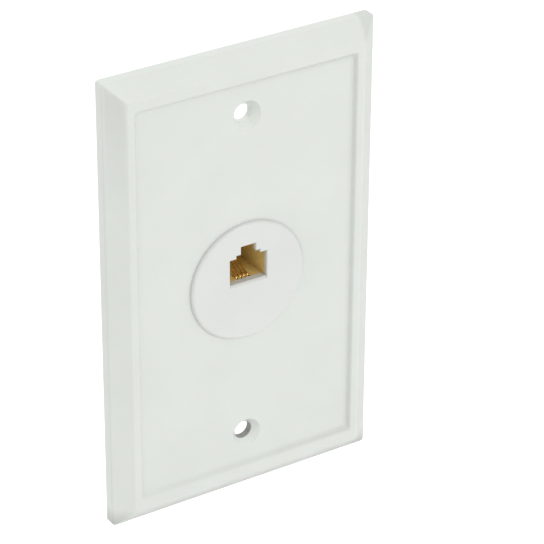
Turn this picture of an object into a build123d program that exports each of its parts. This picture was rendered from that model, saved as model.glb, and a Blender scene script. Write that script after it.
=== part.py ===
from build123d import *
import math
import os

# A single-gang wall plate that carries a round-nosed, four-wire modular jack.
# X runs to the right, Y into the wall and Z up. The rim of the plate lies on the wall at y = 0.
# Sizes are in millimetres. A height is a distance in front of the wall, so a height h is at y = -h,
# and what is sunk in the wall box behind the plate has a height below zero.

os.makedirs("parts", exist_ok=True)

# Wall plate
plate_width = 69.85
plate_length = 114.3
plate_corner = 0.8
edge_height = 2.65
fold_round = 0.7
bevel_run = 4.5
ridge_height = 5.95
ridge_width = 1.55
ridge_end_width = 2.35
ridge_round = 0.7
recess_run = 0.9
recess_round = 0.4
face_height = 5.15
face_thickness = 1.9
rim_thickness = 1.8
pocket_bevel_height = 1.5
pocket_bevel_run = 2.8
mould_round = 0.35

# Holes and bosses of the wall plate
screw_spacing = 83.34
screw_hole = 4.3
countersink = 7.4
countersink_angle = 82
screw_boss = 9.5
screw_boss_foot = 1.8
nose_hole = 30.1
nose_hole_round = 0.25
collar = 36.0
seat_height = 0.2
fixing_spacing = 41.6
fixing_boss = 6.4
fixing_pilot = 2.4
fixing_pilot_end = 4.2

# Ribs inside the wall plate
rib_thickness = 1.2
rib_foot = 1.0
rib_x = 24.5
rib_z = 31.5

# Jack body
nose_diameter = 29.85
nose_height = 6.1
nose_wall = 1.6
nose_round = 0.85
front_wall = 1.1
sill_depth = 2.1
sill_slope = 0.45
base_width = 41.0
base_length = 50.0
base_corner = 4.0
base_thickness = 2.4
fixing_hole = 3.0
tower_wall = 1.45
tower_depth = 8.0
tower_corner = 0.8
fit_gap = 0.05

# Plug opening, a rectangle with two narrower steps above it for the latch of the plug
opening_floor = -0.15
opening_width = 9.75
opening_height = 6.7
step_width = 6.3
step_height = 0.8
notch_width = 3.9
notch_height = 2.0
opening_lead_in = 0.2

# Insert behind the opening
insert_width = 12.2
insert_bottom = -2.95
insert_top = 10.6
insert_depth = 7.6
cavity_depth = 6.2
insert_floor = 1.1
latch_space_depth = 3.2
barb_reach = 0.75
barb_length = 2.4
barb_end_depth = 6.9
barb_root = 0.2
barb_width = 3.6
barb_z = 4.0
window_slack = 0.15

# Contact wires
wire_diameter = 0.46
wire_pitch = 1.02
wire_rear_pitch = 2.0
wire_level = -1.75
wire_front = 3.15
wire_lift = -0.15
wire_tip_depth = 5.45
wire_tip_z = 3.3
wire_turn = 0.5
wire_fan_start = 0.0
wire_fan_end = 4.6
wire_end_depth = 9.3
wire_slot = 0.62
wire_slot_end = 1.2

# Carrier under the floor of the insert
carrier_width = 8.4
carrier_nose = 2.6
carrier_gap = 0.05
carrier_head_width = 9.4
carrier_head_bottom = -4.2
carrier_head_top = -1.75
carrier_head_depth = 10.4
groove_overrun = 0.3

# Comb that keeps the tips of the contact wires apart
comb_width = 5.0
comb_depth = 1.9
comb_top = 5.2
comb_foot = 0.5

# Splice barrels between the contact wires and the leads
splice_start = 8.3
splice_step = 9.5
splice_end = 11.6
splice_neck = 1.1
splice_barrel = 1.7
splice_taper = 0.2

# Leads
lead_diameter = 1.3
lead_run_share = 0.45
lead_straight = 3.2
lead_lap = 1.6

# Terminals
terminal_x = 14.0
terminal_z = 15.0
post_diameter = 8.2
post_depth = 6.0
fence_thickness = 1.0
fence_offset = 4.5
fence_depth = 7.8
fence_length = 9.0
brace_x = 14.6
brace_thickness = 1.2
brace_depth = 4.6
insert_nut = 4.6
insert_nut_length = 4.4

# Spade lugs
lug_thickness = 0.5
lug_width = 5.8
lug_slot = 3.3
lug_reach = 2.9
lug_neck = 1.7
lug_neck_length = 2.0
lug_neck_lap = 0.4
lug_barrel = 1.9
lug_barrel_start = 3.5
lug_barrel_length = 2.8

# Clamp washers and screws
washer_side = 6.6
washer_thickness = 0.8
washer_hole = 3.4
washer_corner = 0.6
terminal_screw = 3.0
terminal_head = 6.0
terminal_head_height = 2.0
terminal_screw_length = 5.6
body_screw = 2.36
body_head = 5.2
body_head_height = 1.8
body_screw_length = 5.6
slot_width = 0.8
slot_depth = 0.9
head_rim_share = 0.4
cross_share = 0.55
terminal_turns = (20, 75, -35, 50)
body_turns = (10, 65)

# Places worked out from the sizes above
face_back = face_height - face_thickness
nose_floor = nose_height - front_wall
sill_back = nose_height - sill_depth
insert_centre_z = (insert_bottom + insert_top) / 2
insert_length = insert_top - insert_bottom
cavity_top = opening_floor + opening_height
notch_top = cavity_top + step_height + notch_height
floor_underside = opening_floor - insert_floor
wire_numbers = (1, 2, 3, 4)
wire_x = [(number - 2.5) * wire_pitch for number in wire_numbers]
wire_rear_x = [(number - 2.5) * wire_rear_pitch for number in wire_numbers]
terminals = [(-terminal_x, terminal_z), (-terminal_x, -terminal_z)]
terminals += [(terminal_x, -terminal_z), (terminal_x, terminal_z)]
lug_top = post_depth + lug_thickness
washer_top = lug_top + washer_thickness


def level(height):
    """The plane parallel to the wall at this height, seen from the front."""
    return Plane.XZ.offset(height)


def standing(x, z):
    """A plane whose sketch X runs outwards from the axis at (x, z), and whose sketch Y runs into the wall."""
    return Plane(origin=(x, 0, z), x_dir=(1, 0, 0), z_dir=(0, 0, 1))


def inward(x, z):
    """The axis at (x, z) that runs straight into the wall."""
    return Axis((x, 0, z), (0, 1, 0))


def plug_profile():
    """The outline of the plug opening, drawn in a sketch parallel to the wall."""
    with Locations((0, opening_floor + opening_height / 2)):
        Rectangle(opening_width, opening_height)
    with Locations((0, cavity_top + step_height / 2)):
        Rectangle(step_width, step_height)
    with Locations((0, cavity_top + (step_height + notch_height) / 2)):
        Rectangle(notch_width, step_height + notch_height)


# The wall plate is a hollow moulding: a low side wall, a broad bevel, a narrow ridge and a sunken face
with BuildPart() as wall_plate:
    with BuildSketch(level(0)):
        RectangleRounded(plate_width, plate_length, plate_corner)
    extrude(amount=edge_height)
    with BuildSketch(level(edge_height)):
        RectangleRounded(plate_width, plate_length, plate_corner)
    with BuildSketch(level(ridge_height)):
        RectangleRounded(plate_width - 2 * bevel_run, plate_length - 2 * bevel_run, plate_corner)
    loft(ruled=True)
    recess_width = plate_width - 2 * (bevel_run + ridge_width)
    recess_length = plate_length - 2 * (bevel_run + ridge_end_width)
    with BuildSketch(level(ridge_height)):
        RectangleRounded(recess_width, recess_length, plate_corner)
    with BuildSketch(level(face_height)):
        RectangleRounded(recess_width - 2 * recess_run, recess_length - 2 * recess_run, plate_corner)
    loft(ruled=True, mode=Mode.SUBTRACT)
    ridge_edges = wall_plate.edges().filter_by_position(Axis.Y, -ridge_height, -ridge_height)
    fillet(ridge_edges, ridge_round)
    foot_edges = wall_plate.edges().filter_by_position(Axis.Y, -face_height, -face_height)
    fillet(foot_edges, recess_round)
    fold_edges = wall_plate.edges().filter_by_position(Axis.Y, -edge_height, -edge_height)
    fillet(fold_edges, fold_round)

    # Pocket behind, with a wall of even thickness under the bevel
    pocket_width = plate_width - 2 * rim_thickness
    pocket_length = plate_length - 2 * rim_thickness
    with BuildSketch(level(0)):
        RectangleRounded(pocket_width, pocket_length, plate_corner)
    extrude(amount=pocket_bevel_height, mode=Mode.SUBTRACT)
    with BuildSketch(level(pocket_bevel_height)):
        RectangleRounded(pocket_width, pocket_length, plate_corner)
    with BuildSketch(level(face_back)):
        floor_width = pocket_width - 2 * pocket_bevel_run
        floor_length = pocket_length - 2 * pocket_bevel_run
        RectangleRounded(floor_width, floor_length, plate_corner)
    loft(ruled=True, mode=Mode.SUBTRACT)

    # Ribs across the pocket, short of the wall
    with BuildSketch(level(rib_foot)):
        with Locations((-rib_x, 0), (rib_x, 0)):
            Rectangle(rib_thickness, pocket_length)
        with Locations((0, -rib_z), (0, rib_z)):
            Rectangle(pocket_width, rib_thickness)
    extrude(amount=face_back - rib_foot)

    # Bosses for the plate screws, the collar round the nose and the bosses that hold the jack body
    with BuildSketch(level(screw_boss_foot)):
        with GridLocations(0, screw_spacing, 1, 2):
            Circle(screw_boss / 2)
    extrude(amount=face_back - screw_boss_foot)
    with BuildSketch(level(seat_height)):
        Circle(collar / 2)
        with GridLocations(0, fixing_spacing, 1, 2):
            Circle(fixing_boss / 2)
    extrude(amount=face_back - seat_height)

    # Openings
    with BuildSketch(level(seat_height)):
        Circle(nose_hole / 2)
    extrude(amount=face_height - seat_height, mode=Mode.SUBTRACT)
    hole_edges = wall_plate.edges().filter_by(GeomType.CIRCLE)
    hole_edges = hole_edges.filter_by_position(Axis.Y, -face_height, -face_height)
    fillet(hole_edges.sort_by(SortBy.RADIUS)[-1], nose_hole_round)
    with BuildSketch(level(seat_height)):
        with GridLocations(0, fixing_spacing, 1, 2):
            Circle(fixing_pilot / 2)
    extrude(amount=fixing_pilot_end - seat_height, mode=Mode.SUBTRACT)
    with Locations(level(face_height)):
        with GridLocations(0, screw_spacing, 1, 2):
            CounterSinkHole(screw_hole / 2, countersink / 2, counter_sink_angle=countersink_angle)

wall_plate.part.label = "wall_plate"
export_step(wall_plate.part, "parts/wall_plate.step")

# The jack body: a hollow round nose with the plug opening, and a base behind it with four terminal posts
tower_width = insert_width + 2 * fit_gap + 2 * tower_wall
tower_length = insert_length + fit_gap + 2 * tower_wall
tower_z = insert_centre_z + fit_gap / 2
with BuildPart() as jack_body:
    with BuildSketch(level(seat_height)):
        Circle(nose_diameter / 2)
    extrude(amount=nose_height - seat_height)
    nose_edge = jack_body.edges().filter_by_position(Axis.Y, -nose_height, -nose_height)
    fillet(nose_edge, nose_round)
    with BuildSketch(level(seat_height)):
        RectangleRounded(base_width, base_length, base_corner)
    extrude(amount=-base_thickness)
    back = base_thickness - seat_height
    base_edges = jack_body.edges().filter_by_position(Axis.Y, back, back)
    fillet(base_edges, mould_round)

    # The hollow of the nose, and the tower that holds the insert
    with BuildSketch(level(-back)):
        Circle(nose_diameter / 2 - nose_wall)
    extrude(amount=back + nose_floor, mode=Mode.SUBTRACT)
    with BuildSketch(level(-tower_depth)):
        with Locations((0, tower_z)):
            RectangleRounded(tower_width, tower_length, tower_corner)
    extrude(amount=tower_depth + nose_floor)
    with BuildSketch(level(-tower_depth)):
        with Locations((0, tower_z)):
            Rectangle(insert_width + 2 * fit_gap, insert_length + fit_gap)
    extrude(amount=tower_depth + nose_floor, mode=Mode.SUBTRACT)

    # Windows in the sides of the tower for the barbs of the insert
    with BuildSketch(Plane.YZ.offset(-tower_width)):
        window_depth = barb_end_depth - barb_length / 2
        with Locations((window_depth, barb_z)):
            Rectangle(barb_length + 2 * window_slack, barb_width + 2 * window_slack)
    extrude(amount=2 * tower_width, mode=Mode.SUBTRACT)

    # Plug opening through the thin front wall, with a lead-in all round and a deeper, sloping sill below it
    with BuildSketch(level(nose_floor)):
        plug_profile()
    extrude(amount=front_wall, mode=Mode.SUBTRACT)
    with BuildSketch(level(nose_height - opening_lead_in)):
        plug_profile()
    with BuildSketch(level(nose_height)):
        plug_profile()
        offset(amount=opening_lead_in, kind=Kind.INTERSECTION)
    loft(ruled=True, mode=Mode.SUBTRACT)
    with BuildSketch(level(sill_back)):
        with Locations((0, opening_floor - insert_floor / 2)):
            Rectangle(opening_width, insert_floor)
    extrude(amount=nose_floor - sill_back)
    with BuildSketch(Plane.YZ.offset(-opening_width / 2)):
        Polygon(
            (-nose_height, opening_floor),
            (-nose_height, opening_floor - sill_slope),
            (sill_slope - nose_height, opening_floor),
            align=None,
        )
    extrude(amount=opening_width, mode=Mode.SUBTRACT)

    # Posts, with a fence on two sides of each terminal and a low brace from post to post
    with BuildSketch(level(-post_depth)):
        with Locations(*terminals):
            Circle(post_diameter / 2)
    extrude(amount=post_depth - back)
    with BuildSketch(level(-fence_depth)):
        for x, z in terminals:
            side = math.copysign(fence_offset, x)
            end = math.copysign(fence_offset, z)
            with Locations((x + side, z)):
                Rectangle(fence_thickness, fence_length)
            with Locations((x, z + end)):
                Rectangle(fence_length + fence_thickness, fence_thickness)
    extrude(amount=fence_depth - back)
    with BuildSketch(level(-brace_depth)):
        Rectangle(2 * brace_x + brace_thickness, 2 * terminal_z + brace_thickness)
        Rectangle(2 * brace_x - brace_thickness, 2 * terminal_z - brace_thickness, mode=Mode.SUBTRACT)
    extrude(amount=brace_depth - back)

    # Bores in the posts for the threaded inserts, and the two fixing holes
    with BuildSketch(level(-post_depth)):
        with Locations(*terminals):
            Circle(insert_nut / 2)
    extrude(amount=insert_nut_length, mode=Mode.SUBTRACT)
    with BuildSketch(level(-back)):
        with GridLocations(0, fixing_spacing, 1, 2):
            Circle(fixing_hole / 2)
    extrude(amount=base_thickness, mode=Mode.SUBTRACT)

jack_body.part.label = "jack_body"
export_step(jack_body.part, "parts/jack_body.step")

# The insert: a square tube with the plug cavity, open below for the contact carrier
with BuildPart() as contact_housing:
    with BuildSketch(level(-insert_depth)):
        with Locations((0, insert_centre_z)):
            Rectangle(insert_width, insert_length)
    extrude(amount=insert_depth + nose_floor)
    with BuildSketch(level(-cavity_depth)):
        with Locations((0, opening_floor + opening_height / 2)):
            Rectangle(opening_width, opening_height)
    extrude(amount=cavity_depth + nose_floor, mode=Mode.SUBTRACT)
    with BuildSketch(level(-latch_space_depth)):
        with Locations((0, (cavity_top + notch_top) / 2)):
            Rectangle(step_width, notch_top - cavity_top)
    extrude(amount=latch_space_depth + nose_floor, mode=Mode.SUBTRACT)

    # The floor stops short of the sill
    with BuildSketch(level(sill_back - fit_gap)):
        with Locations((0, opening_floor - insert_floor / 2)):
            Rectangle(opening_width + 2 * fit_gap, insert_floor + 2 * fit_gap)
    extrude(amount=nose_floor - sill_back + fit_gap, mode=Mode.SUBTRACT)

    # Comb at the back of the cavity
    with BuildSketch(level(-cavity_depth)):
        with Locations((0, (opening_floor + comb_top) / 2)):
            Rectangle(comb_width, comb_top - opening_floor)
    extrude(amount=comb_depth)
    with BuildSketch(level(-cavity_depth)):
        for x in wire_x:
            with Locations((x, comb_top)):
                Rectangle(wire_slot, 2 * (comb_top - opening_floor - comb_foot))
    extrude(amount=comb_depth, mode=Mode.SUBTRACT)

    # Slots in the front of the floor, where the contact wires come up
    with BuildSketch(Plane.XY.offset(opening_floor)):
        for x in wire_x:
            with Locations((x, -nose_floor)):
                Rectangle(wire_slot, 2 * (nose_floor - wire_slot_end))
    extrude(amount=-insert_floor, mode=Mode.SUBTRACT)

    # Channel under the floor for the carrier
    with BuildSketch(level(-insert_depth)):
        with Locations((0, (insert_bottom + floor_underside) / 2)):
            Rectangle(carrier_width + 2 * carrier_gap, floor_underside - insert_bottom)
    extrude(amount=insert_depth + nose_floor, mode=Mode.SUBTRACT)

    # Barbs that snap into the windows of the tower
    for side in (-1, 1):
        wall = side * (insert_width / 2 - barb_root)
        tip = side * (insert_width / 2 + barb_reach)
        with BuildSketch(Plane.XY.offset(barb_z - barb_width / 2)):
            Polygon(
                (wall, barb_end_depth - barb_length),
                (tip, barb_end_depth),
                (wall, barb_end_depth),
                align=None,
            )
        extrude(amount=barb_width)

contact_housing.part.label = "contact_housing"
export_step(contact_housing.part, "parts/contact_housing.step")

# The carrier: a slab with a groove for each contact wire, and a head behind the tower for the splices
with BuildPart() as contact_carrier:
    carrier_top = floor_underside - carrier_gap
    with BuildSketch(level(-tower_depth)):
        with Locations((0, (insert_bottom + carrier_top) / 2)):
            Rectangle(carrier_width, carrier_top - insert_bottom)
    extrude(amount=tower_depth + carrier_nose)
    with BuildSketch(level(-carrier_head_depth)):
        with Locations((0, (carrier_head_bottom + carrier_head_top) / 2)):
            Rectangle(carrier_head_width, carrier_head_top - carrier_head_bottom)
    extrude(amount=carrier_head_depth - tower_depth)
    groove_floor = wire_level - wire_diameter / 2
    for front_x, rear_x in zip(wire_x, wire_rear_x):
        with BuildSketch(Plane.XY.offset(groove_floor)):
            with BuildLine():
                Polyline(
                    (front_x, -carrier_nose - groove_overrun),
                    (front_x, wire_fan_start),
                    (rear_x, wire_fan_end),
                    (rear_x, tower_depth + groove_overrun),
                )
            trace(line_width=wire_slot)
        extrude(amount=carrier_top - groove_floor, mode=Mode.SUBTRACT)
        with BuildSketch(level(-tower_depth)):
            with Locations((rear_x, wire_level)):
                Circle(splice_barrel / 2)
        extrude(amount=tower_depth - carrier_head_depth, mode=Mode.SUBTRACT)

contact_carrier.part.label = "contact_carrier"
export_step(contact_carrier.part, "parts/contact_carrier.step")

# Four formed contact wires: forward under the floor, round the front and back up into the cavity
for number, front_x, rear_x in zip(wire_numbers, wire_x, wire_rear_x):
    with BuildPart() as contact_wire:
        with BuildLine() as wire_path:
            FilletPolyline(
                (rear_x, wire_end_depth, wire_level),
                (rear_x, wire_fan_end, wire_level),
                (front_x, wire_fan_start, wire_level),
                (front_x, -wire_front, wire_level),
                (front_x, -wire_front, wire_lift),
                (front_x, wire_tip_depth, wire_tip_z),
                radius=wire_turn,
            )
        with BuildSketch(Plane(origin=wire_path.line @ 0, z_dir=wire_path.line % 0)):
            Circle(wire_diameter / 2)
        sweep()
    contact_wire.part.label = f"contact_wire_{number}"
    export_step(contact_wire.part, f"parts/contact_wire_{number}.step")

# Splice barrels, narrow on the contact wire and wide on the lead's insulation
with BuildPart() as splice_barrels:
    for x in wire_rear_x:
        with BuildSketch(standing(x, wire_level)):
            Polygon(
                (wire_diameter / 2, splice_start),
                (splice_neck / 2, splice_start),
                (splice_neck / 2, splice_step - splice_taper),
                (splice_barrel / 2, splice_step + splice_taper),
                (splice_barrel / 2, splice_end),
                (lead_diameter / 2, splice_end),
                (lead_diameter / 2, splice_step + splice_taper),
                (wire_diameter / 2, splice_step + splice_taper),
                align=None,
            )
        revolve(axis=inward(x, wire_level))

splice_barrels.part.label = "splice_barrels"
export_step(splice_barrels.part, "parts/splice_barrels.step")

# Each lead leaves its splice straight back, bends over the tower and comes down to its lug
lead_level = post_depth + lug_barrel / 2
lead_routes = {
    "lead_black": (
        (wire_rear_x[0], 14.6, wire_level),
        (-8.6, 15.6, 1.2),
        (-13.2, 10.6, 2.9),
    ),
    "lead_red": (
        (wire_rear_x[1], 16.4, wire_level),
        (-7.4, 16.6, -3.4),
        (-12.6, 11.4, -2.6),
    ),
    "lead_green": (
        (wire_rear_x[2], 15.4, wire_level),
        (6.6, 16.9, -4.2),
        (12.9, 11.9, -3.0),
    ),
    "lead_yellow": (
        (wire_rear_x[3], 14.2, wire_level),
        (9.0, 15.0, 0.6),
        (13.0, 10.2, 3.2),
    ),
}


def lead_radii(points):
    """A radius for each corner, as large as the shorter of the two runs beside it allows."""
    radii = []
    for before, corner, after in zip(points, points[1:], points[2:]):
        turn = (corner - before).get_angle(after - corner)
        run = min((corner - before).length, (after - corner).length)
        radii.append(lead_run_share * run / math.tan(math.radians(turn / 2)))
    return radii


for (name, middle), rear_x, (x, z) in zip(lead_routes.items(), wire_rear_x, terminals):
    lug_side = math.copysign(1, z)
    lug_end = z - lug_side * (lug_barrel_start + lug_barrel_length)
    route = [Vector(rear_x, splice_step + splice_taper, wire_level)]
    route += [Vector(*point) for point in middle]
    route += [Vector(x, lead_level, lug_end - lug_side * lead_straight)]
    route += [Vector(x, lead_level, lug_end + lug_side * lead_lap)]
    radii = lead_radii(route)
    with BuildPart() as lead:
        with BuildLine() as lead_path:
            FilletPolyline(*route, radius=radii)
        with BuildSketch(Plane(origin=lead_path.line @ 0, z_dir=lead_path.line % 0)):
            Circle(lead_diameter / 2)
        sweep()
    lead.part.label = name
    export_step(lead.part, f"parts/{name}.step")

# A spade lug on each post: a fork round the screw, a neck and a crimped barrel
for name, (x, z) in zip(("black", "red", "green", "yellow"), terminals):
    lug_side = math.copysign(1, z)
    with BuildPart() as spade_lug:
        with BuildSketch(level(-lug_top)):
            with Locations((x, z)):
                Circle(lug_width / 2)
            with Locations((x, z + lug_side * lug_reach / 2)):
                Rectangle(lug_width, lug_reach)
            with Locations((x, z - lug_side * (lug_barrel_start - lug_neck_length / 2 + lug_neck_lap))):
                Rectangle(lug_neck, lug_neck_length)
            with Locations((x, z)):
                Circle(lug_slot / 2, mode=Mode.SUBTRACT)
            with Locations((x, z + lug_side * lug_reach)):
                Rectangle(lug_slot, 2 * lug_reach, mode=Mode.SUBTRACT)
        extrude(amount=lug_thickness)
        barrel_end = z - lug_side * lug_barrel_start
        barrel_plane = Plane(origin=(x, lead_level, barrel_end), x_dir=(1, 0, 0), z_dir=(0, 0, -lug_side))
        with BuildSketch(barrel_plane):
            Circle(lug_barrel / 2)
            Circle(lead_diameter / 2, mode=Mode.SUBTRACT)
        extrude(amount=lug_barrel_length)
    spade_lug.part.label = f"spade_lug_{name}"
    export_step(spade_lug.part, f"parts/spade_lug_{name}.step")

    # A square clamp washer on top of the lug
    with BuildPart() as terminal_washer:
        with BuildSketch(level(-washer_top)):
            with Locations((x, z)):
                RectangleRounded(washer_side, washer_side, washer_corner)
                Circle(washer_hole / 2, mode=Mode.SUBTRACT)
        extrude(amount=washer_thickness)
    terminal_washer.part.label = f"terminal_washer_{name}"
    export_step(terminal_washer.part, f"parts/terminal_washer_{name}.step")

# Threaded inserts in the posts
with BuildPart() as terminal_inserts:
    with BuildSketch(level(-post_depth)):
        with Locations(*terminals):
            Circle(insert_nut / 2)
            Circle(terminal_screw / 2, mode=Mode.SUBTRACT)
    extrude(amount=insert_nut_length)

terminal_inserts.part.label = "terminal_inserts"
export_step(terminal_inserts.part, "parts/terminal_inserts.step")


def headed_screw(x, z, seat, shank, length, head, height, angle):
    """A screw whose round head sits at the depth called seat, with a crossed slot turned by angle."""
    crown = seat + height
    rim = seat + head_rim_share * height
    with BuildPart() as screw:
        with BuildSketch(standing(x, z)):
            with BuildLine():
                Polyline(
                    (0, crown),
                    (0, seat - length),
                    (shank / 2, seat - length),
                    (shank / 2, seat),
                    (head / 2, seat),
                    (head / 2, rim),
                )
                TangentArc((0, crown), (head / 2, rim), tangent=(1, 0))
            make_face()
        revolve(axis=inward(x, z))
        with BuildSketch(Plane(origin=(x, crown, z), x_dir=(1, 0, 0), z_dir=(0, 1, 0))):
            Rectangle(2 * head, slot_width, rotation=angle)
            Rectangle(cross_share * head, slot_width, rotation=angle + 90)
        extrude(amount=-slot_depth, mode=Mode.SUBTRACT)
    return screw.part


# Four terminal screws, tightened on the clamp washers
with BuildPart() as terminal_screws:
    for (x, z), angle in zip(terminals, terminal_turns):
        add(headed_screw(x, z, washer_top, terminal_screw, terminal_screw_length,
                         terminal_head, terminal_head_height, angle))

terminal_screws.part.label = "terminal_screws"
export_step(terminal_screws.part, "parts/terminal_screws.step")

# Two screws through the base of the jack body into the bosses of the wall plate
with BuildPart() as body_screws:
    for z, angle in zip((-fixing_spacing / 2, fixing_spacing / 2), body_turns):
        add(headed_screw(0, z, back, body_screw, body_screw_length, body_head, body_head_height, angle))

body_screws.part.label = "body_screws"
export_step(body_screws.part, "parts/body_screws.step")
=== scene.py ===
import math

import bmesh
import bpy
from mathutils import Matrix, Vector


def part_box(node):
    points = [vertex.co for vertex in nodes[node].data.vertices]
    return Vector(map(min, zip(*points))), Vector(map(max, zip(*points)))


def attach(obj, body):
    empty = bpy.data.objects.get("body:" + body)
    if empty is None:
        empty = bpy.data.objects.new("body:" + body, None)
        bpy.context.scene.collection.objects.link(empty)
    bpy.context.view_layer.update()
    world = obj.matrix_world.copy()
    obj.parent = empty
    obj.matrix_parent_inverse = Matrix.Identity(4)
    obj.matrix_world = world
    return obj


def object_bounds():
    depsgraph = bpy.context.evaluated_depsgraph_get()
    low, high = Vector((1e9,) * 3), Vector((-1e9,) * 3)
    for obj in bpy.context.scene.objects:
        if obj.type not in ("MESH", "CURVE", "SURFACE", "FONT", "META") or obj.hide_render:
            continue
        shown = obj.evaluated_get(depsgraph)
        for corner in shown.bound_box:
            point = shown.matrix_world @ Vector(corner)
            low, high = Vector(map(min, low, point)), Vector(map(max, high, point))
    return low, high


# A wall jack, dressed for a studio picture. Sizes are in metres, in the frame of the solids:
# X runs to the right, Y into the wall and Z up, and the front of the plate is towards -Y.

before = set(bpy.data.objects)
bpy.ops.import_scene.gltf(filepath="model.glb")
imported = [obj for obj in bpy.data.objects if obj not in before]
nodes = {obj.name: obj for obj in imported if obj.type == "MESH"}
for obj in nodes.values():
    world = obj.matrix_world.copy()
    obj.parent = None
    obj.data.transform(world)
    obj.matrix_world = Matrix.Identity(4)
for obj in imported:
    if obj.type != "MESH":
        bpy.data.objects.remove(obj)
solid_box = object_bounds()

MM = 0.001

# Camera, fitted to the four edges of the plate
CAMERA_AZIMUTH = -32.115
CAMERA_ELEVATION = 30.004
CAMERA_ROLL = -0.365
CAMERA_DISTANCE = 657.19 * MM
CAMERA_ASIDE = -8.517 * MM
CAMERA_DOWN = -0.544 * MM
CAMERA_LENS = 189.86
CAMERA_SENSOR = 36
CAMERA_CLIP = 10 * MM

# Studio
FLOOR_DROP = 60 * MM
FLOOR_SIZE = 8.0
FLOOR_DULL = (0.95, 0.95, 0.95)
FLOOR_BRIGHT = (0.97, 0.97, 0.97)
SURROUND_STRENGTH = 1.0
MAIN_LIGHT = {"place": (0.38, -1.25, 0.73), "size": 0.6, "power": 6.0}
RIM_LIGHT = {"place": (-0.2, 0.8, 1.26), "size": 0.7, "power": 6.4}

# Wall plate
PLATE_HALF_WIDTH = 34.925 * MM
PLATE_HALF_LENGTH = 57.15 * MM
PLATE_BACK_Y = -3.25 * MM
RECESS_HALF_WIDTH = 27.98 * MM
RECESS_HALF_LENGTH = 49.4 * MM
SCREW_HALF_SPACING = 41.67 * MM

# Painted shade and painted light on the wall plate. A ramp is where it starts and ends, and its strength at
# each.
# Painted shade along the foot of the recess's wall, stronger towards the right.
CORNER_RISE = (-1.1 * MM, 0.3 * MM, 0, 1)
CORNER_FALL = (0.5 * MM, 1.1 * MM, 1, 0)
CORNER_FROM_LEFT_TO_RIGHT = (-28 * MM, 28 * MM, 0.02, 0.13)
# Painted shade, darker towards the bottom edge.
LOW_SHADE = (-57.2 * MM, -52.3 * MM, 0.46, 0)
# Painted shade on the upper part of the left bevel.
LEFT_BEVEL_OUTER = (-34.8 * MM, -34.2 * MM, 0, 1)
LEFT_BEVEL_INNER = (-31.2 * MM, -30.4 * MM, 1, 0)
LEFT_BEVEL_UPWARDS = (26 * MM, 52 * MM, 0, 0.115)
# Painted shade along the right bevel and edge.
RIGHT_BEVEL = (30.5 * MM, 31.3 * MM, 0, 0.13)
# Painted shade on the wall of the lower screw hole.
BORE_SHADE = (2.2 * MM, 2.35 * MM, 0.75, 0)
# Painted light on the lower half of each countersink.
SINK_LIGHT = (3.5 * MM, 3.8 * MM, 0.65, 0)
SINK_LOWER_HALF = (-1.0 * MM, 1.4 * MM, 1, 0)
# Noise that breaks the painted shade into patches, and the most that the painted shade may darken.
SHADE_PATCH_SIZE = 2.2 * MM
SHADE_PATCHES = (0.3, 0.7, 0.8, 1.1)
SHADE_LIMIT = 0.8
# The colours of the painted shade and of the painted light.
PAINTED_SHADE_TONE = (0.09, 0.085, 0.075)
PAINTED_LIGHT_TONE = (0.66, 0.69, 0.65)

# The bead between the nose and the wall plate
NOSE_RADIUS = 14.925 * MM
NOSE_HOLE_RADIUS = 15.05 * MM
BEAD_Y = -5.13 * MM
BEAD_DEPTH = 0.5 * MM
BEAD_IN_NOSE = 0.08 * MM
BEAD_IN_PLATE = 0.24 * MM
BEAD_FOOT_IN_PLATE = 0.02 * MM
BEAD_DIP_FROM_NOSE = 0.15 * MM
BEAD_DIP = 0.02 * MM
BEAD_OUTER_RISE = 0.01 * MM
BEAD_STEPS = 160

# Ejector marks on the inner side of the wall plate, with their places in millimetres
MARK_RADIUS = 2.4 * MM
MARK_PROUD = 0.1 * MM
MARK_ROUND = 0.3 * MARK_PROUD
MARK_STEPS = 40
MARK_PLACES = ((-18, -48), (18, -48), (-18, 48), (18, 48), (-29, 0), (29, 0))

# Colours
PLATE_WHITE = (0.568, 0.594, 0.56)
BODY_WHITE = (0.569, 0.58, 0.56)
HOUSING_AMBER = (0.72, 0.55, 0.215)
CARRIER_AMBER = (0.62, 0.4, 0.14)
GOLD, GOLD_DEEP = (0.93, 0.66, 0.27), (0.78, 0.48, 0.15)
TIN, TIN_STAIN = (0.74, 0.73, 0.69), (0.6, 0.56, 0.48)
ZINC, ZINC_STAIN = (0.7, 0.7, 0.67), (0.58, 0.54, 0.44)
NICKEL, NICKEL_STAIN = (0.72, 0.71, 0.67), (0.6, 0.56, 0.46)
BRASS, BRASS_STAIN = (0.8, 0.6, 0.28), (0.6, 0.42, 0.18)
INSULATION = {
    "black": (0.022, 0.022, 0.024),
    "red": (0.5, 0.022, 0.02),
    "green": (0.02, 0.22, 0.07),
    "yellow": (0.78, 0.56, 0.035),
}

# The colour sockets of a mix node
MIX_FIRST, MIX_SECOND, MIX_RESULT = 6, 7, 2

# Metal details
TERMINAL_HEAD_RADIUS = 3 * MM
TURNED_RING_PITCH = 0.12 * MM
SHARP_EDGE = math.radians(35)


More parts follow.
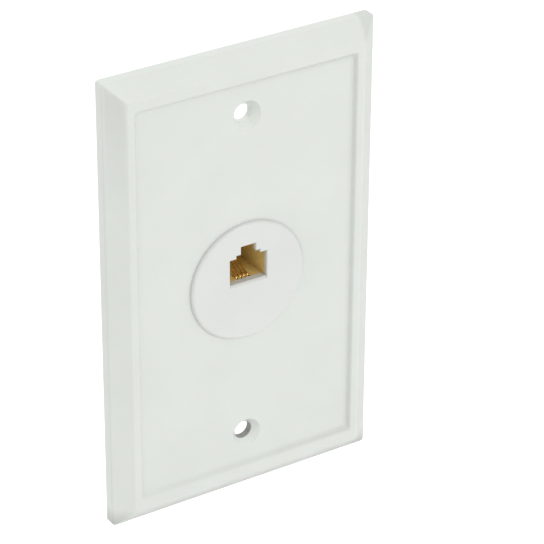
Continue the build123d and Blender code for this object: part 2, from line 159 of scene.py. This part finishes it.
def make_camera():
    """A long lens to the left of the plate and above it."""
    azimuth = math.radians(CAMERA_AZIMUTH)
    elevation = math.radians(CAMERA_ELEVATION)
    roll = math.radians(CAMERA_ROLL)
    forward = Vector((
        -math.sin(azimuth) * math.cos(elevation),
        math.cos(azimuth) * math.cos(elevation),
        -math.sin(elevation),
    ))
    level_right = forward.cross(Vector((0, 0, 1))).normalized()
    level_down = forward.cross(level_right)
    right = math.cos(roll) * level_right + math.sin(roll) * level_down
    down = math.cos(roll) * level_down - math.sin(roll) * level_right
    place = -(CAMERA_ASIDE * right + CAMERA_DOWN * down + CAMERA_DISTANCE * forward)
    data = bpy.data.cameras.new("camera")
    data.lens = CAMERA_LENS
    data.sensor_width = CAMERA_SENSOR
    data.clip_start = CAMERA_CLIP
    camera = bpy.data.objects.new("camera", data)
    turn = Matrix((right, -down, -forward)).transposed().to_4x4()
    camera.matrix_world = Matrix.Translation(place) @ turn
    bpy.context.scene.collection.objects.link(camera)
    bpy.context.scene.camera = camera


def make_light(name, place, size, power):
    """A square soft light at place, turned to the middle of the plate."""
    data = bpy.data.lights.new(name, "AREA")
    data.shape = "SQUARE"
    data.size = size
    data.energy = power
    light = bpy.data.objects.new(name, data)
    turn = (-Vector(place)).to_track_quat("-Z", "Y").to_matrix().to_4x4()
    light.matrix_world = Matrix.Translation(Vector(place)) @ turn
    bpy.context.scene.collection.objects.link(light)


class Shader:
    """A material with one Principled shader, and short ways to add the nodes that feed it."""

    def __init__(self, name, **sockets):
        self.material = bpy.data.materials.new(name)
        self.material.use_nodes = True
        self.tree = self.material.node_tree
        self.surface = self.tree.nodes["Principled BSDF"]
        for socket, value in sockets.items():
            self.surface.inputs[socket.replace("_", " ")].default_value = value
        self.place = self.add("ShaderNodeTexCoord").outputs["Object"]

    def add(self, kind, **settings):
        """A new node of this kind."""
        node = self.tree.nodes.new(kind)
        for name, value in settings.items():
            setattr(node, name, value)
        return node

    def join(self, output, socket):
        """A link from a node's output to a socket."""
        self.tree.links.new(output, socket)

    def feed(self, output, socket):
        """A link from a node's output to a socket of the Principled shader."""
        self.join(output, self.surface.inputs[socket])

    def math(self, operation, first, second=0.0):
        """A math operation on one or two values. Either may be a number or the output of another node."""
        node = self.add("ShaderNodeMath", operation=operation)
        for socket, value in zip(node.inputs, (first, second)):
            if isinstance(value, (int, float)):
                socket.default_value = value
            else:
                self.join(value, socket)
        return node.outputs[0]

    def chain(self, operation, first, *others):
        """A math operation taken over several values, one after the other."""
        for other in others:
            first = self.math(operation, first, other)
        return first

    def distance(self, across, up):
        """How far a point is from the origin of two axes."""
        squares = self.math("ADD", self.math("MULTIPLY", across, across), self.math("MULTIPLY", up, up))
        return self.math("SQRT", squares)

    def noise(self, size, detail=3.0, stretch=(1, 1, 1), roughness=0.5):
        """Noise with features of about this size in metres, drawn out along an axis by stretch."""
        mapping = self.add("ShaderNodeMapping")
        self.join(self.place, mapping.inputs["Vector"])
        mapping.inputs["Scale"].default_value = [1 / (size * s) for s in stretch]
        node = self.add("ShaderNodeTexNoise")
        self.join(mapping.outputs["Vector"], node.inputs["Vector"])
        node.inputs["Scale"].default_value = 1.0
        node.inputs["Detail"].default_value = detail
        node.inputs["Roughness"].default_value = roughness
        return node.outputs["Fac"]

    def range(self, value, low, high, out_low, out_high):
        """A ramp from out_low at low to out_high at high, level beyond both."""
        node = self.add("ShaderNodeMapRange")
        self.join(value, node.inputs["Value"])
        sockets = ("From Min", "From Max", "To Min", "To Max")
        for name, number in zip(sockets, (low, high, out_low, out_high)):
            node.inputs[name].default_value = number
        return node.outputs["Result"]

    def blend(self, share, first, second):
        """A colour between first and second. Either may be a colour or the output of another node."""
        node = self.add("ShaderNodeMix", data_type="RGBA")
        self.join(share, node.inputs["Factor"])
        for socket, value in ((node.inputs[MIX_FIRST], first), (node.inputs[MIX_SECOND], second)):
            if isinstance(value, (tuple, list)):
                socket.default_value = (*value, 1.0)
            else:
                self.join(value, socket)
        return node.outputs[MIX_RESULT]

    def bump(self, *layers):
        """Each layer is a height from 0 to 1 and the depth in metres that it stands for."""
        normal = None
        for height, depth in layers:
            node = self.add("ShaderNodeBump")
            node.inputs["Strength"].default_value = 1.0
            node.inputs["Distance"].default_value = depth
            self.join(height, node.inputs["Height"])
            if normal is not None:
                self.join(normal, node.inputs["Normal"])
            normal = node.outputs["Normal"]
        self.feed(normal, "Normal")

    def axes(self):
        """The place on the object, one output for each axis."""
        node = self.add("ShaderNodeSeparateXYZ")
        self.join(self.place, node.inputs["Vector"])
        return node.outputs

    def put_on(self, *names):
        """Gives these solids this material alone."""
        for name in names:
            materials = nodes[name].data.materials
            materials.clear()
            materials.append(self.material)


def recess_corner_shade(shader, axes):
    """Painted shade along the foot of the recess's wall, more of it on the right."""
    aside = shader.math("SUBTRACT", shader.math("ABSOLUTE", axes["X"]), RECESS_HALF_WIDTH)
    along = shader.math("SUBTRACT", shader.math("ABSOLUTE", axes["Z"]), RECESS_HALF_LENGTH)
    out = shader.math("MAXIMUM", aside, along)
    rise = shader.range(out, *CORNER_RISE)
    fall = shader.range(out, *CORNER_FALL)
    return shader.chain("MULTIPLY", rise, fall, shader.range(axes["X"], *CORNER_FROM_LEFT_TO_RIGHT))


def bevel_shade(shader, axes):
    """Painted shade on the upper part of the left bevel, up to its mitre, and all along the right edge."""
    mitre_height = shader.math("SUBTRACT", axes["Z"], PLATE_HALF_LENGTH - PLATE_HALF_WIDTH)
    left = shader.chain(
        "MULTIPLY",
        shader.range(axes["X"], *LEFT_BEVEL_OUTER),
        shader.range(axes["X"], *LEFT_BEVEL_INNER),
        shader.range(axes["Z"], *LEFT_BEVEL_UPWARDS),
        shader.math("GREATER_THAN", shader.math("MULTIPLY", axes["X"], -1), mitre_height),
    )
    return shader.math("ADD", left, shader.range(axes["X"], *RIGHT_BEVEL))


def plate_shade_and_light(shader, tone):
    """Faint painted shade in the recess's corner, on the bevels, towards the bottom edge and in the lower
    hole, and painted light on the lower half of the countersinks.
    """
    axes = shader.axes()
    corner = recess_corner_shade(shader, axes)
    bevels = bevel_shade(shader, axes)
    low = shader.range(axes["Z"], *LOW_SHADE)
    from_lower_hole = shader.math("ADD", axes["Z"], SCREW_HALF_SPACING)
    bore = shader.range(shader.distance(axes["X"], from_lower_hole), *BORE_SHADE)
    patches = shader.range(shader.noise(SHADE_PATCH_SIZE, detail=4), *SHADE_PATCHES)
    faint = shader.math("MULTIPLY", shader.chain("ADD", corner, low, bevels), patches)
    painted_shade = shader.math("MINIMUM", shader.math("ADD", faint, bore), SHADE_LIMIT)

    # Painted light on the lower half of each countersink.
    hole_height = shader.math("MULTIPLY", shader.math("SIGN", axes["Z"]), SCREW_HALF_SPACING)
    from_hole = shader.math("SUBTRACT", axes["Z"], hole_height)
    sink = shader.range(shader.distance(axes["X"], from_hole), *SINK_LIGHT)
    sink_light = shader.math("MULTIPLY", sink, shader.range(from_hole, *SINK_LOWER_HALF))
    return shader.blend(painted_shade, shader.blend(sink_light, tone, PAINTED_LIGHT_TONE), PAINTED_SHADE_TONE)


def white_plastic(name, base, grain, painted_shading=None):
    """Moulded white plastic: faint flow shade, a fine mould grain, slow waviness and hairline rubs."""
    shader = Shader(
        name, IOR=1.5, Specular_IOR_Level=0.35, Subsurface_Weight=0.06, Subsurface_Scale=0.6 * MM
    )
    cloud = shader.noise(14 * MM, detail=2)
    fleck = shader.noise(0.9 * MM, detail=4, roughness=0.6)
    cool = tuple(c * 0.975 for c in base)
    warm = (base[0] * 1.005, base[1] * 0.996, base[2] * 0.975)
    tone = shader.blend(shader.range(cloud, 0.35, 0.65, 0, 1), base, cool)
    tone = shader.blend(shader.range(fleck, 0.56, 0.75, 0, 0.6), tone, warm)
    # Painted shade and painted light, where given.
    if painted_shading:
        tone = painted_shading(shader, tone)
    shader.feed(tone, "Base Color")
    rub = shader.range(shader.noise(0.5 * MM, detail=3, stretch=(18, 1, 1.3)), 0.6, 0.72, 0, 1)
    slow = shader.noise(6 * MM, detail=2)
    rough = shader.math(
        "ADD", shader.range(slow, 0.3, 0.7, 0.3, 0.4), shader.math("MULTIPLY", rub, 0.12)
    )
    shader.feed(rough, "Roughness")
    texture = shader.noise(grain, detail=2)
    shader.bump((slow, 0.012 * MM), (texture, 0.0035 * MM), (rub, 0.0012 * MM))
    return shader


def amber_plastic(name, base, gloss):
    """Amber moulding, slightly cloudy, with darker flow marks and a glossy mould skin."""
    shader = Shader(name, IOR=1.57, Subsurface_Weight=0.25, Subsurface_Scale=0.8 * MM)
    cloud = shader.noise(1.8 * MM, detail=4)
    flow = shader.noise(0.7 * MM, detail=2, stretch=(1, 4, 1))
    deep = (base[0] * 0.86, base[1] * 0.8, base[2] * 0.7)
    pale = (base[0] * 1.08, base[1] * 1.12, base[2] * 1.25)
    tone = shader.blend(shader.range(cloud, 0.35, 0.7, 0, 1), base, deep)
    tone = shader.blend(shader.range(flow, 0.55, 0.75, 0, 0.4), tone, pale)
    shader.feed(tone, "Base Color")
    shader.feed(shader.range(cloud, 0.3, 0.7, gloss, gloss + 0.18), "Roughness")
    shader.bump((shader.noise(0.25 * MM, detail=2), 0.004 * MM), (flow, 0.008 * MM))
    return shader


def gilt(name):
    """Gold plating on drawn wire: fine streaks along the wire and slightly duller patches."""
    shader = Shader(name, Metallic=1.0)
    patch = shader.noise(0.6 * MM, detail=3)
    shader.feed(shader.blend(shader.range(patch, 0.35, 0.7, 0, 1), GOLD, GOLD_DEEP), "Base Color")
    streak = shader.noise(0.05 * MM, detail=2, stretch=(1, 30, 12))
    shader.feed(shader.range(streak, 0.3, 0.7, 0.16, 0.32), "Roughness")
    shader.bump((streak, 0.0015 * MM))
    return shader


def vinyl(name, base):
    """Soft extruded insulation: satin, with slow thickness changes and faint rubs."""
    shader = Shader(name, IOR=1.53)
    cloud = shader.noise(2.5 * MM, detail=3)
    dull = tuple(c * 0.8 + 0.02 for c in base)
    shader.feed(shader.blend(shader.range(cloud, 0.4, 0.7, 0, 0.8), base, dull), "Base Color")
    shader.feed(shader.range(cloud, 0.3, 0.7, 0.32, 0.46), "Roughness")
    shader.bump((shader.noise(0.4 * MM, detail=2), 0.01 * MM), (cloud, 0.03 * MM))
    return shader


def plated_metal(name, base, stain, roughness, spot):
    """Plated or tinned metal with rolled streaks and duller, warmer spots of about this size."""
    shader = Shader(name, Metallic=1.0)
    patch = shader.noise(spot, detail=4, roughness=0.6)
    shader.feed(shader.blend(shader.range(patch, 0.5, 0.75, 0, 0.8), base, stain), "Base Color")
    streak = shader.noise(0.08 * MM, detail=2, stretch=(22, 22, 1))
    rough = shader.math(
        "ADD", shader.range(patch, 0.3, 0.7, *roughness), shader.math("MULTIPLY", streak, 0.1)
    )
    shader.feed(rough, "Roughness")
    shader.bump((streak, 0.002 * MM), (patch, 0.006 * MM))
    return shader


def turned_metal(name, centre_x, centre_z):
    """Nickel with fine turned rings about each screw's axis, at plus or minus the centre's place."""
    shader = Shader(name, Metallic=1.0)
    patch = shader.noise(0.9 * MM, detail=4)
    shader.feed(shader.blend(shader.range(patch, 0.5, 0.75, 0, 0.7), NICKEL, NICKEL_STAIN), "Base Color")
    axes = shader.axes()
    across = shader.math("SUBTRACT", shader.math("ABSOLUTE", axes["X"]), centre_x)
    up = shader.math("SUBTRACT", shader.math("ABSOLUTE", axes["Z"]), centre_z)
    turns = shader.math("MULTIPLY", shader.distance(across, up), math.tau / TURNED_RING_PITCH)
    rings = shader.range(shader.math("SINE", turns), -1, 1, 0, 1)
    rough = shader.math(
        "ADD", shader.range(patch, 0.3, 0.7, 0.2, 0.34), shader.math("MULTIPLY", rings, 0.05)
    )
    shader.feed(rough, "Roughness")
    shader.bump((rings, 0.0015 * MM), (patch, 0.004 * MM))
    return shader


def dress_plastics():
    """The white plate and body, and the amber pieces in the opening."""
    plate = white_plastic("plate_plastic", PLATE_WHITE, grain=0.35 * MM, painted_shading=plate_shade_and_light)
    plate.put_on("wall_plate")
    make_ejector_marks(plate)
    body = white_plastic("body_plastic", BODY_WHITE, grain=0.28 * MM)
    body.put_on("jack_body")
    make_nose_bead(body)
    amber_plastic("housing_plastic", HOUSING_AMBER, gloss=0.2).put_on("contact_housing")
    amber_plastic("carrier_plastic", CARRIER_AMBER, gloss=0.3).put_on("contact_carrier")


def dress_terminals():
    """The contact wires, leads, lugs, washers, screws and inserts."""
    gilt("gilt_contact").put_on(*(f"contact_wire_{number}" for number in (1, 2, 3, 4)))
    splice = plated_metal("tinned_splice", TIN, TIN_STAIN, roughness=(0.28, 0.42), spot=0.7 * MM)
    splice.put_on("splice_barrels")
    lug = plated_metal("tinned_lug", TIN, TIN_STAIN, roughness=(0.25, 0.4), spot=1.1 * MM)
    lug.put_on(*(f"spade_lug_{colour}" for colour in INSULATION))
    washer = plated_metal("plated_washer", ZINC, ZINC_STAIN, roughness=(0.3, 0.45), spot=1.4 * MM)
    washer.put_on(*(f"terminal_washer_{colour}" for colour in INSULATION))
    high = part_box("terminal_screws")[1]
    terminal_screw = turned_metal(
        "terminal_screw_metal",
        centre_x=high.x - TERMINAL_HEAD_RADIUS,
        centre_z=high.z - TERMINAL_HEAD_RADIUS,
    )
    terminal_screw.put_on("terminal_screws")
    low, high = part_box("body_screws")
    head_radius = (high.x - low.x) / 2
    body_screw = turned_metal("body_screw_metal", centre_x=0.0, centre_z=high.z - head_radius)
    body_screw.put_on("body_screws")
    insert = plated_metal("brass_insert", BRASS, BRASS_STAIN, roughness=(0.25, 0.4), spot=0.8 * MM)
    insert.put_on("terminal_inserts")
    for colour, base in INSULATION.items():
        vinyl(f"{colour}_insulation", base).put_on(f"lead_{colour}")


def own_piece(name, build, shader):
    """A piece of the scene's own: it gets a mesh from build and rides the jack's one body."""
    mesh = bpy.data.meshes.new(name)
    bmesh.ops.recalc_face_normals(build, faces=build.faces)
    for face in build.faces:
        face.smooth = True
    build.to_mesh(mesh)
    build.free()
    mesh.set_sharp_from_angle(angle=SHARP_EDGE)
    mesh.materials.append(shader.material)
    piece = bpy.data.objects.new(name, mesh)
    bpy.context.scene.collection.objects.link(piece)
    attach(piece, "root")
    return piece


def join_rings(build, rings, following_rings):
    """A band of faces between each ring of vertices and the one that follows it."""
    for ring, following in zip(rings, following_rings):
        for index in range(len(ring)):
            after = (index + 1) % len(ring)
            build.faces.new((ring[index], ring[after], following[after], following[index]))


def make_nose_bead(shader):
    """The soft bead on the nose that closes the narrow gap round it, a little below the plate's face."""
    profile = (
        (NOSE_RADIUS - BEAD_IN_NOSE, BEAD_Y),
        (NOSE_RADIUS + BEAD_DIP_FROM_NOSE, BEAD_Y + BEAD_DIP),
        (NOSE_HOLE_RADIUS + BEAD_IN_PLATE, BEAD_Y - BEAD_OUTER_RISE),
        (NOSE_HOLE_RADIUS + BEAD_FOOT_IN_PLATE, BEAD_Y + BEAD_DEPTH),
        (NOSE_RADIUS - BEAD_IN_NOSE, BEAD_Y + BEAD_DEPTH),
    )
    build = bmesh.new()
    rings = []
    for step in range(BEAD_STEPS):
        angle = math.tau * step / BEAD_STEPS
        rings.append([
            build.verts.new((radius * math.cos(angle), y, radius * math.sin(angle)))
            for radius, y in profile
        ])
    join_rings(build, rings, rings[1:] + rings[:1])
    piece = own_piece("nose_bead", build, shader)


def make_ejector_marks(shader):
    """Flat round marks that the ejector pins left on the inner side of the wall plate."""
    profile = (
        (MARK_RADIUS, PLATE_BACK_Y - MARK_PROUD),
        (MARK_RADIUS, PLATE_BACK_Y + MARK_PROUD - MARK_ROUND),
        (MARK_RADIUS - MARK_ROUND, PLATE_BACK_Y + MARK_PROUD),
    )
    angles = [math.tau * step / MARK_STEPS for step in range(MARK_STEPS)]
    build = bmesh.new()
    for x, z in MARK_PLACES:
        rings = [
            [
                build.verts.new((x * MM + radius * math.cos(angle), y, z * MM + radius * math.sin(angle)))
                for angle in angles
            ]
            for radius, y in profile
        ]
        join_rings(build, rings, rings[1:])
        build.faces.new(rings[0])
        build.faces.new(rings[-1])
    piece = own_piece("ejector_marks", build, shader)


def make_studio():
    """A pale floor some way under the plate, an even white surround, and a soft light in front and behind."""
    mesh = bpy.data.meshes.new("floor")
    build = bmesh.new()
    bmesh.ops.create_grid(build, x_segments=1, y_segments=1, size=FLOOR_SIZE / 2)
    build.to_mesh(mesh)
    build.free()
    floor = bpy.data.objects.new("floor", mesh)
    lowest = solid_box[0][2]
    floor.location = (0, 0, lowest - FLOOR_DROP)
    bpy.context.scene.collection.objects.link(floor)
    paper = Shader("floor_paper", Roughness=0.9, Specular_IOR_Level=0.2)
    fibre = paper.noise(3 * MM, detail=4)
    paper.feed(paper.blend(fibre, FLOOR_DULL, FLOOR_BRIGHT), "Base Color")
    mesh.materials.append(paper.material)

    world = bpy.data.worlds.new("surround")
    world.use_nodes = True
    background = world.node_tree.nodes["Background"]
    background.inputs["Color"].default_value = (1, 1, 1, 1)
    background.inputs["Strength"].default_value = SURROUND_STRENGTH
    bpy.context.scene.world = world

    make_light("main_light", **MAIN_LIGHT)
    make_light("rim_light", **RIM_LIGHT)
    bpy.context.scene.view_settings.view_transform = "Standard"


make_camera()
make_studio()
dress_plastics()
dress_terminals()
